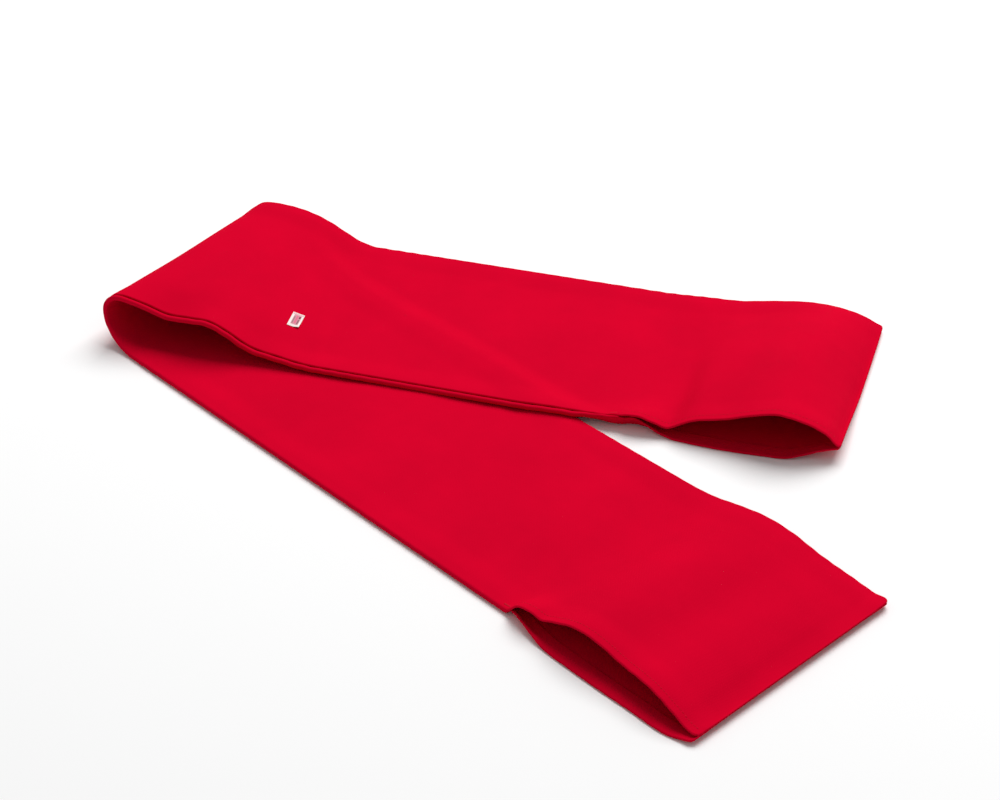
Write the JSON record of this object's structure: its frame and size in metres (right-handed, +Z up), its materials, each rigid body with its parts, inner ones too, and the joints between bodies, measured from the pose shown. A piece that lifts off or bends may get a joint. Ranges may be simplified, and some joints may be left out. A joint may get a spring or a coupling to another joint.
{
  "type": "fabric pocket band",
  "caption": "Long flat band of doubled red cotton with an open side pocket at each end, folded over once on itself.",
  "frame": {"origin": "on the table plane, under the centre of the object's bounding box", "axes": "+Z up from the table; the fold's crease lies along Y at the -X end and both arms run towards +X, the lower arm towards -Y and the upper arm towards +Y"},
  "size_m": [0.6862, 0.52, 0.0437],
  "materials": {
    "red_cotton": "matt plain-woven cotton",
    "red_thread": "matt spun sewing thread",
    "white_label": null,
    "white_thread": "matt spun sewing thread"
  },
  "bodies": {
    "root": {"outer_panel": "red_cotton", "inner_panel": "red_cotton", "mouth_side_seam_thread": "red_thread", "closed_side_seam_thread": "red_thread", "lower_end_seam_thread": "red_thread", "upper_end_seam_thread": "red_thread", "lower_mouth_back_tack": "red_thread", "upper_mouth_back_tack": "red_thread", "lower_pocket_upper_lip_hem_thread": "red_thread", "lower_pocket_lower_lip_hem_thread": "red_thread", "upper_pocket_upper_lip_hem_thread": "red_thread", "upper_pocket_lower_lip_hem_thread": "red_thread", "woven_label": "white_label", "label_near_stitches": "white_thread", "label_far_stitches": "white_thread"}
  },
  "joints": []
}
